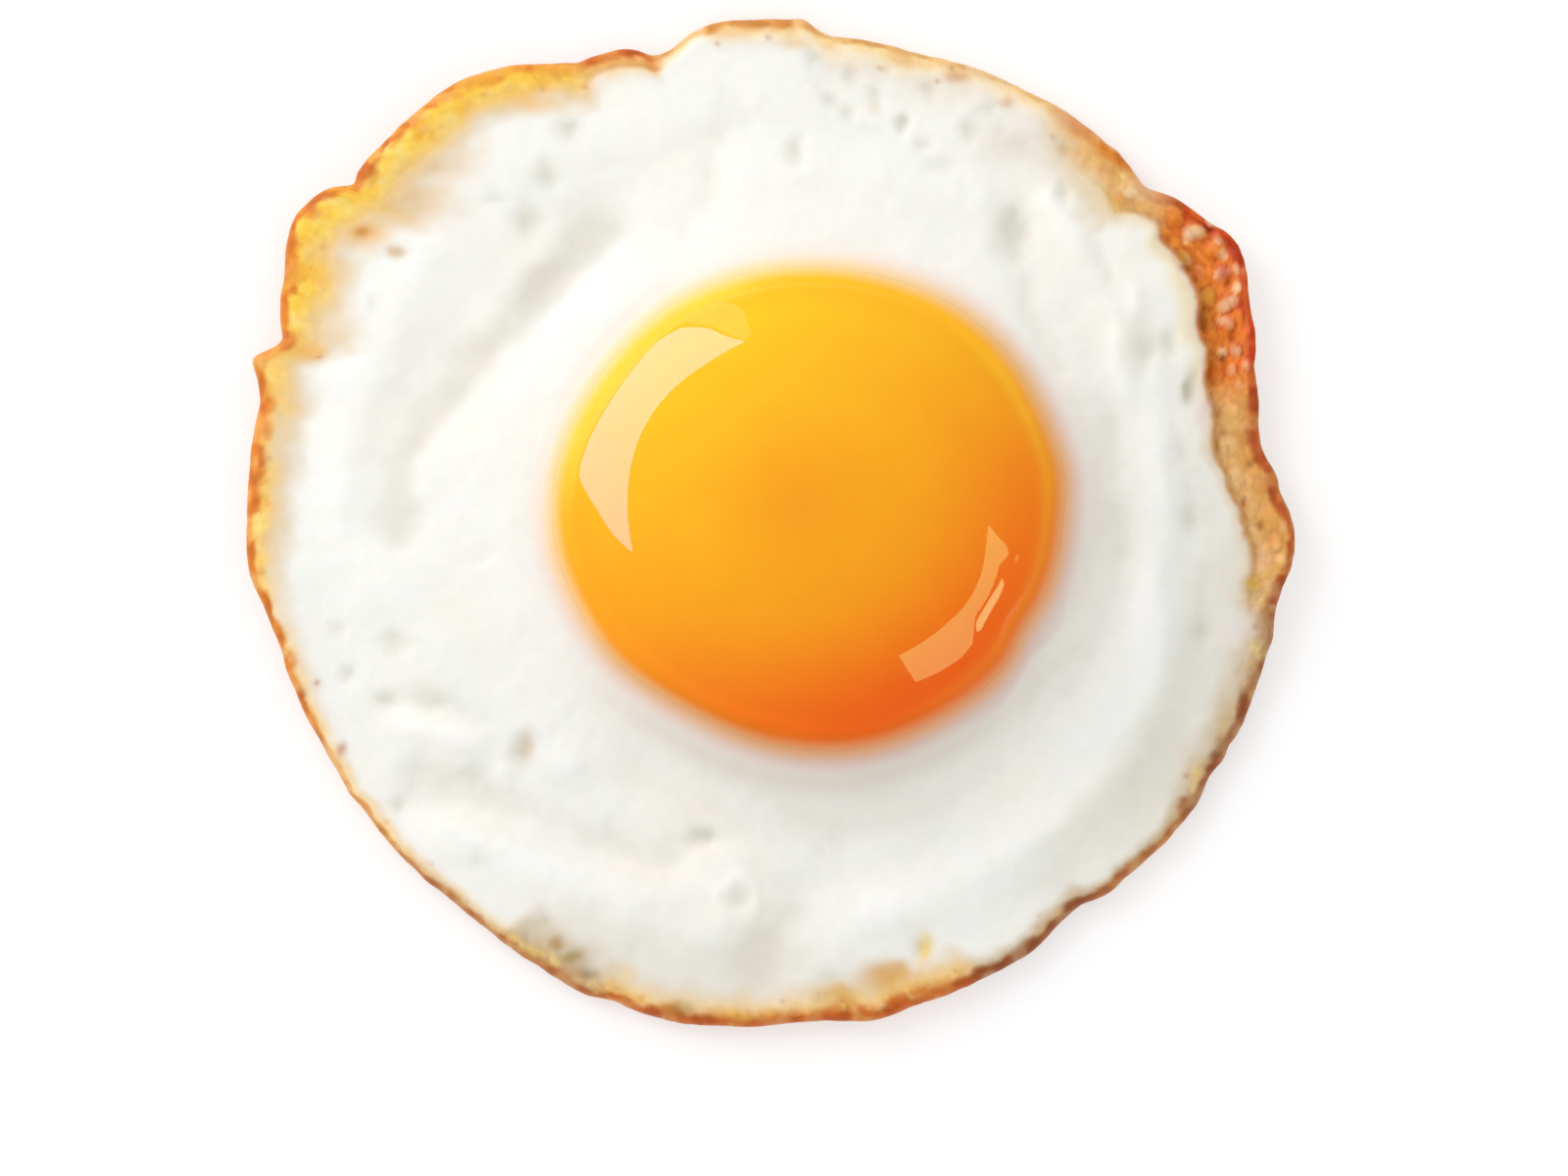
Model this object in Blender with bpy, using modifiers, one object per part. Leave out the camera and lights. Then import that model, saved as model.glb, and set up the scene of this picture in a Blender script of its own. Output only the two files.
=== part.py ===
"""A fried egg, sunny side up: the white, and the yolk that sits in it.

Metres, +Z up. The egg lies on its flat underside at Z = 0, with the middle of
its outline over the origin. Angles run anticlockwise from +X, seen from above.

The white is one turned blank. Its profile starts on the yolk's axis, runs up
the hollow that the yolk sits in, over the mound of thick white, out to the
browned rim, and back underneath. Each of its rings is then placed between two
outlines: the yolk's, and the rim's, which is a circle with lobes and notches.
"""

import math

import bpy

MM = 0.001
EGG = "fried_egg"

# ---- the yolk ----
YOLK_CENTRE = (3.1, 1.3)  # mm from the middle of the white
YOLK_HALF_X = 22.7
YOLK_HALF_Y = 21.5
YOLK_EQUATOR_Z = 7.4  # height of its widest ring
YOLK_DOME = 9.7  # from that ring up to its top
YOLK_BOWL = 6.0  # from that ring down to its bottom
# swellings and flat spots of its outline: angle, half width in degrees, height in mm
YOLK_LOBES = (
    (8.0, 9.0, 0.35),
    (48.0, 20.0, 0.35),
    (148.0, 20.0, -0.45),
    (204.0, 11.0, -0.30),
    (238.0, 22.0, -0.95),
    (286.0, 14.0, 0.30),
    (318.0, 16.0, 0.35),
    (331.0, 7.0, -0.50),
)

# ---- the outline of the white ----
RIM_RADIUS = 44.3
# angle, half width in degrees, height in mm, and how flat the top of the lobe is
RIM_LOBES = (
    (358.8, 5.5, 1.90, 1.0),  # the tip of the right-hand crust
    (10.5, 4.0, -0.40, 1.0),
    (29.0, 13.0, 1.90, 2.0),  # the broad crust at the upper right
    (30.5, 5.0, 1.90, 1.0),  # and its corner
    (52.0, 8.0, 0.75, 1.0),
    (77.0, 8.0, -0.60, 2.0),
    (92.0, 7.0, 0.55, 2.0),  # the top
    (103.0, 3.0, -1.40, 1.0),  # the notch beside it
    (133.0, 16.0, 4.00, 2.0),  # the first scallop at the upper left
    (140.9, 2.2, -0.25, 1.0),  # the nick between the two scallops
    (151.0, 8.0, 4.25, 1.5),  # the second scallop
    (162.6, 2.2, 1.50, 1.0),  # a small tongue on the left
    (175.0, 16.0, 2.35, 3.0),  # the left side
    (197.0, 9.0, 0.70, 1.0),
    (230.0, 7.0, -0.35, 1.0),
    (256.0, 13.0, 0.75, 2.0),  # the bottom left
    (282.0, 3.5, 0.35, 1.0),
    (289.0, 13.0, 0.35, 2.0),  # the bottom
    (308.0, 4.0, -0.75, 1.0),
    (338.0, 20.0, 1.10, 2.0),  # the lower right
)

# ---- the thickness of the white ----
FLOOR = 1.1  # under the yolk
GAP = 0.3  # between the yolk and the hollow it sits in
LIP_Z = 7.0  # where the white meets the yolk
MOUND_Z = 5.3  # the thick white at its shoulder
THIN_Z = 3.3  # the thin white outside the shoulder
EDGE_Z = 2.1  # just inside the rim
RIM_Z = 0.75  # half way up the rim's edge
SHOULDER = 10.5  # how far the thick white reaches from the yolk
SHOULDER_SOFT = 3.2  # width of the slope down from it
# where the thick white reaches further or less far: angle, half width, mm
SHOULDER_LOBES = (
    (185.0, 28.0, 4.5),
    (118.0, 18.0, -1.5),
    (235.0, 22.0, -1.5),
    (300.0, 26.0, -2.0),
    (20.0, 24.0, 1.0),
)
# how far the crisp rim lifts off the pan: angle, half width, mm
RIM_LIFTS = (
    (25.0, 17.0, 1.9),
    (355.0, 12.0, 1.2),
    (138.0, 24.0, 1.0),
    (178.0, 14.0, 0.5),
    (283.0, 16.0, 0.5),
)
LIFT_BASE = 0.15
LIFT_FROM = 0.74  # share of the way from the yolk to the rim where it leaves the pan

WHITE_STEPS = 108  # segments round each piece
YOLK_STEPS = 64


def turn_between(a, b):
    """The angle from b to a, from -180 to 180 degrees."""
    return (a - b + 180.0) % 360.0 - 180.0


def lobes(angle, table):
    """The sum of smooth bumps round the outline."""
    total = 0.0
    for centre, half_width, height, *flatness in table:
        power = 2.0 * (flatness[0] if flatness else 1.0)
        total += height * math.exp(
            -(abs(turn_between(angle, centre) / half_width) ** power)
        )
    return total


def smooth(x, low, high):
    x = min(1.0, max(0.0, (x - low) / (high - low)))
    return x * x * (3.0 - 2.0 * x)


def yolk_radius(angle):
    a = math.radians(angle)
    oval = 1.0 / math.hypot(math.cos(a) / YOLK_HALF_X, math.sin(a) / YOLK_HALF_Y)
    return oval + lobes(angle, YOLK_LOBES)


def from_yolk(angle, radius):
    """A point at this distance from the yolk's axis."""
    a = math.radians(angle)
    return (
        YOLK_CENTRE[0] + radius * math.cos(a),
        YOLK_CENTRE[1] + radius * math.sin(a),
    )


def rim_point(angle):
    a = math.radians(angle)
    radius = RIM_RADIUS + lobes(angle, RIM_LOBES)
    return radius * math.cos(a), radius * math.sin(a)


def in_white(angle, share):
    """A point this share of the way from the yolk's outline to the rim, with the whole way's length in mm."""
    inner = from_yolk(angle, yolk_radius(angle) + GAP)
    outer = rim_point(angle)
    x = inner[0] + share * (outer[0] - inner[0])
    y = inner[1] + share * (outer[1] - inner[1])
    return x, y, math.dist(inner, outer)


def lift(angle, share):
    """How far the crisp rim stands off the pan."""
    return (LIFT_BASE + lobes(angle, RIM_LIFTS)) * smooth(share, LIFT_FROM, 1.0) ** 1.5


def ripples(x, y):
    """The gentle unevenness of set white, in mm."""
    return (
        0.22 * math.sin(0.31 * x + 0.9) * math.cos(0.27 * y - 0.4)
        + 0.14 * math.sin(0.19 * x - 0.36 * y + 2.1)
        + 0.10 * math.cos(0.47 * x + 0.21 * y)
    )


def top_height(angle, share):
    x, y, width = in_white(angle, share)
    out = share * width
    reach = SHOULDER + lobes(angle, SHOULDER_LOBES)
    mound = MOUND_Z + (LIP_Z - MOUND_Z) * (1.0 - smooth(out, 0.0, reach)) ** 1.4
    down = smooth(out, reach - SHOULDER_SOFT / 2, reach + SHOULDER_SOFT / 2)
    outer = THIN_Z + (EDGE_Z - THIN_Z) * smooth(share, 0.60, 0.95)
    height = mound + (outer - mound) * down
    # the edge itself is round
    to_rim = (1.0 - share) * width
    if to_rim < 1.6:
        k = to_rim / 1.6
        height = RIM_Z + (height - RIM_Z) * math.sqrt(max(0.0, 1.0 - (1.0 - k) ** 2))
    calm = smooth(out, 0.3, 4.0) * smooth(share, 1.0, 0.92)
    return height + ripples(x, y) * calm + lift(angle, share)


def under_height(angle, share):
    _, _, width = in_white(angle, share)
    to_rim = (1.0 - share) * width
    rounding = 0.0
    if to_rim < 0.9:
        rounding = RIM_Z * (1.0 - math.sqrt(max(0.0, 1.0 - (1.0 - to_rim / 0.9) ** 2)))
    return rounding + lift(angle, share)


def seat_profile():
    """The hollow from its bottom to the lip, as (share of the yolk's radius, mm added, height)."""
    points = []
    count = 9
    for i in range(count + 1):
        a = math.radians(90.0 * i / count)
        # the bowl's own curve, moved outwards by the gap along its normal
        share, down = math.sin(a), math.cos(a)
        slope = math.hypot(share / YOLK_HALF_X, down / YOLK_BOWL)
        points.append(
            (
                share,
                GAP * (share / YOLK_HALF_X) / slope,
                YOLK_EQUATOR_Z - YOLK_BOWL * down - GAP * (down / YOLK_BOWL) / slope,
            )
        )
    return [p for p in points if p[2] < LIP_Z - 0.25]


def turned(name, profile, steps):
    """An object turned about Z from (radius, height) points, which run from the top, down the outside, to the bottom."""
    line = bpy.data.meshes.new(name + "_profile")
    line.from_pydata(
        [(r, 0.0, z) for r, z in profile],
        [(i, i + 1) for i in range(len(profile) - 1)],
        [],
    )
    obj = bpy.data.objects.new(name, line)
    bpy.data.collections[EGG].objects.link(obj)
    screw = obj.modifiers.new("turn", "SCREW")
    screw.axis = "Z"
    screw.steps = steps
    screw.render_steps = steps
    screw.use_merge_vertices = True
    screw.merge_threshold = 0.0001
    graph = bpy.context.evaluated_depsgraph_get()
    blank = bpy.data.meshes.new_from_object(obj.evaluated_get(graph))
    obj.modifiers.clear()
    obj.data = blank
    bpy.data.meshes.remove(line)
    blank.name = name
    return obj


def angle_of(co):
    return math.degrees(math.atan2(co.y, co.x)) % 360.0


def make_white():
    """The white. On the blank, radius 0 to 1 is the yolk's hollow, and 2 to 3 is the way from the yolk's outline to the rim."""
    top, under = 10.0, -10.0  # levels on the blank, above and below every real height
    seat = seat_profile()
    out_shares = (
        *(0.0, 0.05, 0.12, 0.20, 0.28, 0.36, 0.44, 0.52),
        *(0.61, 0.70, 0.79, 0.87, 0.93, 0.965, 0.985, 0.996),
    )
    back_shares = (1.0, 0.985, 0.955, 0.90, 0.82, LIFT_FROM)
    profile = [(share, z) for share, _, z in seat]
    profile += [(2.0 + s, top) for s in out_shares]
    profile += [(2.0 + s, under) for s in back_shares]
    profile.append((0.0, under))
    obj = turned("egg_white", profile, WHITE_STEPS)
    added = {round(z, 4): more for _, more, z in seat}
    for v in obj.data.vertices:
        angle, r = angle_of(v.co), math.hypot(v.co.x, v.co.y)
        if r < 1e-6 and v.co.z < 0.0:
            x, y = YOLK_CENTRE
            z = 0.0
        elif r < 1.5:
            x, y = from_yolk(angle, r * yolk_radius(angle) + added[round(v.co.z, 4)])
            z = v.co.z
        else:
            share = r - 2.0
            x, y, _ = in_white(angle, share)
            height = top_height if v.co.z > 0.0 else under_height
            z = height(angle, share)
        v.co = (x * MM, y * MM, z * MM)
    return obj


def make_yolk():
    """The yolk: a dome on a shallower bowl, about its own axis, with its widest ring at Z = 0."""
    count = 18
    profile = [
        (math.sin(math.pi * i / count), math.cos(math.pi * i / count))
        for i in range(count + 1)
    ]
    profile[0], profile[-1] = (0.0, 1.0), (0.0, -1.0)
    obj = turned("yolk", profile, YOLK_STEPS)
    for v in obj.data.vertices:
        angle, share = angle_of(v.co), math.hypot(v.co.x, v.co.y)
        a, r = math.radians(angle), share * yolk_radius(angle)
        half = YOLK_DOME if v.co.z > 0.0 else YOLK_BOWL
        v.co = (r * math.cos(a) * MM, r * math.sin(a) * MM, half * v.co.z * MM)
    return obj


def material(name, colour, roughness, subsurface):
    made = bpy.data.materials.new(name)
    made.use_nodes = True
    shader = made.node_tree.nodes["Principled BSDF"]
    shader.inputs["Base Color"].default_value = (*colour, 1.0)
    shader.inputs["Roughness"].default_value = roughness
    shader.inputs["Metallic"].default_value = 0.0
    shader.inputs["Subsurface Weight"].default_value = subsurface
    return made


def main():
    for obj in list(bpy.data.objects):
        bpy.data.objects.remove(obj, do_unlink=True)
    bpy.context.scene.collection.children.link(bpy.data.collections.new(EGG))

    white, yolk = make_white(), make_yolk()
    # the origin is under the middle of the white's outline
    middle = [
        (
            min(v.co[k] for v in white.data.vertices)
            + max(v.co[k] for v in white.data.vertices)
        )
        / 2.0
        for k in range(2)
    ]
    white.location = (-middle[0], -middle[1], 0.0)
    yolk.location = (
        YOLK_CENTRE[0] * MM - middle[0],
        YOLK_CENTRE[1] * MM - middle[1],
        YOLK_EQUATOR_Z * MM,
    )
    looks = {
        white: material("cooked_white", (0.90, 0.89, 0.84), 0.40, 0.3),
        yolk: material("cooked_yolk", (0.95, 0.42, 0.03), 0.12, 0.2),
    }
    for obj, look in looks.items():
        obj.data.materials.append(look)
        obj.data.shade_smooth()
        obj.data.set_sharp_from_angle(angle=math.radians(50.0))


main()
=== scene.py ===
import math

import bpy
import numpy as np
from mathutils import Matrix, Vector


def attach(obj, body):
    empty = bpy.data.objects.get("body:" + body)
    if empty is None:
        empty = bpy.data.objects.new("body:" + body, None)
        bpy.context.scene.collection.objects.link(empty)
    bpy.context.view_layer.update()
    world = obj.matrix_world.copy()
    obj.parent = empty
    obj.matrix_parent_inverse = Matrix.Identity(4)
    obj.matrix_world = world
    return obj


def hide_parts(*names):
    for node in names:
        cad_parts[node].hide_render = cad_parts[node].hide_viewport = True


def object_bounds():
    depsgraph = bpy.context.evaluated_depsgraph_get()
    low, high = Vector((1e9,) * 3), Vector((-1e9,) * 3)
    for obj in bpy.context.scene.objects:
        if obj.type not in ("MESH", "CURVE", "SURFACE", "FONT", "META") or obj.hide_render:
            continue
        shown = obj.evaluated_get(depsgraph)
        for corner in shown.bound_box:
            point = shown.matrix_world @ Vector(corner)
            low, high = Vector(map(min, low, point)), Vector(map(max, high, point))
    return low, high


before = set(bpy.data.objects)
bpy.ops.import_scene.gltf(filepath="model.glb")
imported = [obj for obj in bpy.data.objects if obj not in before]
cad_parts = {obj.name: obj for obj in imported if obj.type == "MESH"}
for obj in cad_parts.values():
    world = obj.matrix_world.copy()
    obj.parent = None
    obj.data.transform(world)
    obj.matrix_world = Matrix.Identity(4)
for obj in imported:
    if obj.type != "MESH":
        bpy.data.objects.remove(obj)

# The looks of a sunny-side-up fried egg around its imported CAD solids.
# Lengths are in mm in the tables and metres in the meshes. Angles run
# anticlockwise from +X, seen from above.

MM = 0.001
CAD_LO, CAD_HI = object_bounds()
scene = bpy.context.scene
scene.view_settings.view_transform = "Standard"
scene.view_settings.look = "None"

# ----------------------------------------------------------------------
# sizes shared with the CAD solids
# ----------------------------------------------------------------------
YOLK_CENTRE = (3.1, 1.3)
YOLK_HALF_X, YOLK_HALF_Y = 22.7, 21.5
YOLK_EQUATOR_Z, YOLK_DOME, YOLK_BOWL = 7.4, 9.7, 6.0
YOLK_LOBES = (
    (8.0, 9.0, 0.35),
    (48.0, 20.0, 0.35),
    (148.0, 20.0, -0.45),
    (204.0, 11.0, -0.30),
    (238.0, 22.0, -0.95),
    (286.0, 14.0, 0.30),
    (318.0, 16.0, 0.35),
    (331.0, 7.0, -0.50),
)
RIM_RADIUS = 44.3
RIM_LOBES = (
    (358.8, 5.5, 1.90, 1.0),
    (10.5, 4.0, -0.40, 1.0),
    (29.0, 13.0, 1.90, 2.0),
    (30.5, 5.0, 1.90, 1.0),
    (52.0, 8.0, 0.75, 1.0),
    (77.0, 8.0, -0.60, 2.0),
    (92.0, 7.0, 0.55, 2.0),
    (103.0, 3.0, -1.40, 1.0),
    (133.0, 16.0, 4.00, 2.0),
    (140.9, 2.2, -0.25, 1.0),
    (151.0, 8.0, 4.25, 1.5),
    (162.6, 2.2, 1.50, 1.0),
    (175.0, 16.0, 2.35, 3.0),
    (197.0, 9.0, 0.70, 1.0),
    (230.0, 7.0, -0.35, 1.0),
    (256.0, 13.0, 0.75, 2.0),
    (282.0, 3.5, 0.35, 1.0),
    (289.0, 13.0, 0.35, 2.0),
    (308.0, 4.0, -0.75, 1.0),
    (338.0, 20.0, 1.10, 2.0),
)
# finer nicks and lobes of the crisp edge, too fine for the CAD solid
FINE_RIM = (
    (36.8, 1.8, 0.10, 1.0),
    (42.0, 1.8, -0.55, 1.0),
    (38.8, 1.8, 0.12, 1.0),
    (47.0, 1.5, 0.25, 1.0),
    (18.0, 2.0, -0.30, 1.0),
    (6.0, 1.6, 0.20, 1.0),
    (13.5, 1.4, 0.15, 1.0),
    (83.5, 2.0, -0.30, 1.0),
    (86.5, 1.2, 0.35, 1.0),
    (104.5, 1.1, -0.25, 1.0),
    (112.8, 1.0, -0.25, 1.0),
    (141.0, 0.9, -0.55, 1.0),
    (143.5, 1.2, 0.20, 1.0),
    (153.5, 1.6, -0.25, 1.0),
    (159.5, 1.2, -0.40, 1.0),
    (162.4, 1.1, 0.45, 1.0),
    (165.0, 1.4, 0.25, 1.0),
    (189.0, 2.4, -0.30, 1.0),
    (213.0, 1.4, 0.15, 1.0),
    (226.0, 1.6, 0.15, 1.0),
    (252.0, 2.0, -0.30, 1.0),
    (312.0, 2.0, 0.25, 1.0),
    (330.0, 2.2, -0.45, 1.0),
    (334.0, 1.0, -0.20, 1.0),
    (347.5, 1.5, 0.20, 1.0),
)
LIP_Z, MOUND_Z, THIN_Z, EDGE_Z, RIM_Z = 7.0, 5.3, 3.3, 2.1, 0.75
SHOULDER = 10.5
SHOULDER_LOBES = (
    (185.0, 28.0, 4.5),
    (118.0, 18.0, -1.5),
    (235.0, 22.0, -1.5),
    (300.0, 26.0, -2.0),
    (20.0, 24.0, 1.0),
)
RIM_LIFTS = (
    (25.0, 17.0, 1.9),
    (355.0, 12.0, 1.2),
    (138.0, 24.0, 1.0),
    (178.0, 14.0, 0.5),
    (283.0, 16.0, 0.5),
)
LIFT_BASE, LIFT_FROM = 0.15, 0.74


# ----------------------------------------------------------------------
# helpers
# ----------------------------------------------------------------------
def wrap(d):
    return (d + 180.0) % 360.0 - 180.0


def lobes(angle, table):
    total = np.zeros_like(np.asarray(angle, float))
    for centre, half, height, *flat in table:
        p = 2.0 * (flat[0] if flat else 1.0)
        total = total + height * np.exp(-(np.abs(wrap(angle - centre)) / half) ** p)
    return total


def smooth(x, lo, hi):
    x = np.clip((x - lo) / (hi - lo), 0.0, 1.0)
    return x * x * (3.0 - 2.0 * x)


def mix(a, b, t):
    return a + (b - a) * t


def lin(*rgb):
    """sRGB 0 to 255 as linear light."""
    c = np.clip(np.asarray(rgb, float), 0.0, 255.0) / 255.0
    return np.where(c <= 0.04045, c / 12.92, ((c + 0.055) / 1.055) ** 2.4)


_lattices = {}


def _lattice(seed):
    if seed not in _lattices:
        _lattices[seed] = np.random.default_rng(seed).random((4, 256, 256))
    return _lattices[seed]


def noise(x, y, seed):
    """Smooth value noise from -1 to 1 with a period of one unit."""
    t = _lattice(seed)[0]
    xi, yi = np.floor(x).astype(int), np.floor(y).astype(int)
    fx, fy = x - xi, y - yi
    fx = fx**3 * (fx * (fx * 6 - 15) + 10)
    fy = fy**3 * (fy * (fy * 6 - 15) + 10)
    a, b = t[xi % 256, yi % 256], t[(xi + 1) % 256, yi % 256]
    c, d = t[xi % 256, (yi + 1) % 256], t[(xi + 1) % 256, (yi + 1) % 256]
    return 2.0 * mix(mix(a, b, fx), mix(c, d, fx), fy) - 1.0


def fbm(x, y, seed, octaves=3, gain=0.5):
    total, amp, size = 0.0, 1.0, 0.0
    for k in range(octaves):
        f = 2.03**k
        total = total + amp * noise(x * f + 17.3 * k, y * f - 9.1 * k, seed + k)
        size += amp
        amp *= gain
    return total / size


def cells(x, y, seed):
    """Distance to the nearest cell's middle, to the second nearest, and the nearest cell's own number from 0 to 1."""
    t = _lattice(seed)
    xi, yi = np.floor(x).astype(int), np.floor(y).astype(int)
    f1 = np.full(x.shape, 9.0)
    f2 = np.full(x.shape, 9.0)
    own = np.zeros(x.shape)
    for i in (-1, 0, 1):
        for j in (-1, 0, 1):
            cx, cy = (xi + i) % 256, (yi + j) % 256
            px = xi + i + 0.15 + 0.7 * t[1, cx, cy]
            py = yi + j + 0.15 + 0.7 * t[2, cx, cy]
            d = np.hypot(x - px, y - py)
            nearer = d < f1
            f2 = np.where(nearer, f1, np.minimum(f2, d))
            own = np.where(nearer, t[3, cx, cy], own)
            f1 = np.where(nearer, d, f1)
    return f1, f2, own


def yolk_radius(angle):
    a = np.radians(angle)
    oval = 1.0 / np.hypot(np.cos(a) / YOLK_HALF_X, np.sin(a) / YOLK_HALF_Y)
    return oval + lobes(angle, YOLK_LOBES)


def rim_radius(angle):
    return RIM_RADIUS + lobes(angle, RIM_LOBES)


# the CAD solid is centred on its own box, and so is this
_a = np.arange(108) * 360.0 / 108
_rx = rim_radius(_a) * np.cos(np.radians(_a))
_ry = rim_radius(_a) * np.sin(np.radians(_a))
MIDDLE = ((_rx.min() + _rx.max()) / 2, (_ry.min() + _ry.max()) / 2)
YC = (YOLK_CENTRE[0] - MIDDLE[0], YOLK_CENTRE[1] - MIDDLE[1])


def mesh_object(name, verts, faces, attributes, material):
    mesh = bpy.data.meshes.new(name)
    mesh.from_pydata(verts, [], faces)
    for key, values in attributes.items():
        if values.ndim == 2:
            layer = mesh.color_attributes.new(key, "FLOAT_COLOR", "POINT")
            rgba = np.ones((len(values), 4))
            rgba[:, :3] = values
            layer.data.foreach_set("color", rgba.ravel())
        else:
            layer = mesh.attributes.new(key, "FLOAT", "POINT")
            layer.data.foreach_set("value", values.ravel())
    mesh.materials.append(material)
    mesh.shade_smooth()
    mesh.update()
    obj = bpy.data.objects.new(name, mesh)
    scene.collection.objects.link(obj)
    return obj


def ring_mesh(rings, pole_first, pole_last):
    """Vertices and outward faces from rings of points and a pole at each end."""
    count, around = rings.shape[0], rings.shape[1]
    verts = np.vstack([pole_first[None], rings.reshape(-1, 3), pole_last[None]])
    faces = []
    last = 1 + count * around
    nxt = np.roll(np.arange(around), -1)
    for i in range(around):
        faces.append((0, 1 + i, 1 + int(nxt[i])))
    idx = np.arange(around)
    for k in range(count - 1):
        a = 1 + k * around
        b = a + around
        quad = np.stack([a + idx, b + idx, b + nxt, a + nxt], 1)
        faces.extend(map(tuple, quad.tolist()))
    a = 1 + (count - 1) * around
    for i in range(around):
        faces.append((a + i, last, a + int(nxt[i])))
    return verts, faces


WHITE = lin(243, 243, 238)


def yolk_colour(t, az):
    """Colour across the yolk, with painted light and shade: lighter and yellower on the side towards the light at the
    upper left, redder and darker on the far side. t is 0 at its middle and 1 at its outline.
    """
    # painted light and shade: green and blue rise on the side towards the light at the upper left and fall on the far
    # side, and red falls near the outline on the far side
    to_light = np.cos(np.radians(az - 124.0))
    mean = np.interp(t, [0, 0.15, 0.45, 0.6, 0.8, 0.9, 1.0], [169, 172, 175, 170, 163, 157, 154])
    far = np.minimum(t / 0.8, 1.0)
    green = mean + 1.5 + np.where(to_light > 0.0, 38.0 * far**1.6, 54.0 * far**2.0) * to_light
    green = green + 10.0 * smooth(t, 0.6, 0.9) * np.exp(-((wrap(az - 42.0) / 34.0) ** 2))
    # a thicker, more golden line just inside the outline on the right
    golden = np.exp(-(((t - 0.926) / 0.030) ** 2)) * np.exp(-((wrap(az + 8.0) / 54.0) ** 6))
    green = green + 20.0 * golden
    red = 255.0 - 18.0 * smooth(t, 0.88, 0.96) * smooth(-to_light, -0.1, 0.6)
    blue = 38.0 + 6.0 * t * to_light + 10.0 * golden
    yolk_with_painted_light = np.stack([lin(red)[0], lin(green)[0], lin(blue)[0]], -1)
    # and a pale yellow band near the outline on the upper left, painted light on the side towards the light
    painted_lemon_light = smooth(t, 0.87, 0.93) * np.exp(-((wrap(az - 138.0) / 36.0) ** 6))
    return mix(yolk_with_painted_light, lin(238, 212, 74), (0.75 * painted_lemon_light)[..., None])


def over_edge(yolk_with_painted_light, out, az):
    """The yolk's colour running out into the white at its edge, partly through the thin white film there and partly
    as painted bounce light from the yolk, with painted shade: darker on the side away from the light. out is mm
    outside the yolk's outline.
    """
    # painted light and shade: 1 on the side towards the light, 0 on the far side
    lit = 0.5 + 0.5 * np.cos(np.radians(az - 124.0))[..., None]
    peach = mix(lin(236, 170, 122), lin(255, 222, 168), lit)
    blush = mix(lin(226, 200, 188), lin(250, 238, 226), lit)
    tone = mix(yolk_with_painted_light, peach, smooth(out, -1.45, 0.40)[..., None])
    tone = mix(tone, blush, smooth(out, -0.1, 1.2)[..., None])
    return mix(tone, WHITE, smooth(out, 0.8, 2.8)[..., None])


# ----------------------------------------------------------------------
# the browned rim: what each stretch of it looks like
# ----------------------------------------------------------------------
# the tones that egg white goes through as it browns
TONES = {
    "cream": (248, 234, 208),
    "ivory": (240, 224, 197),
    "oatmeal": (236, 212, 168),
    "stone": (212, 199, 175),
    "butter": (244, 212, 156),
    "straw": (238, 204, 138),
    "sand": (223, 187, 130),
    "corn": (251, 207, 112),
    "gold": (255, 209, 83),
    "oat": (201, 168, 126),
    "honey": (228, 176, 104),
    "tan": (202, 151, 80),
    "ochre": (212, 150, 60),
    "toffee": (220, 150, 74),
    "rusk": (215, 121, 44),
    "amber": (220, 127, 34),
    "hazel": (194, 124, 68),
    "copper": (205, 104, 36),
    "chestnut": (186, 90, 38),
    "umber": (160, 92, 50),
    "russet": (200, 72, 28),
}
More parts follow.
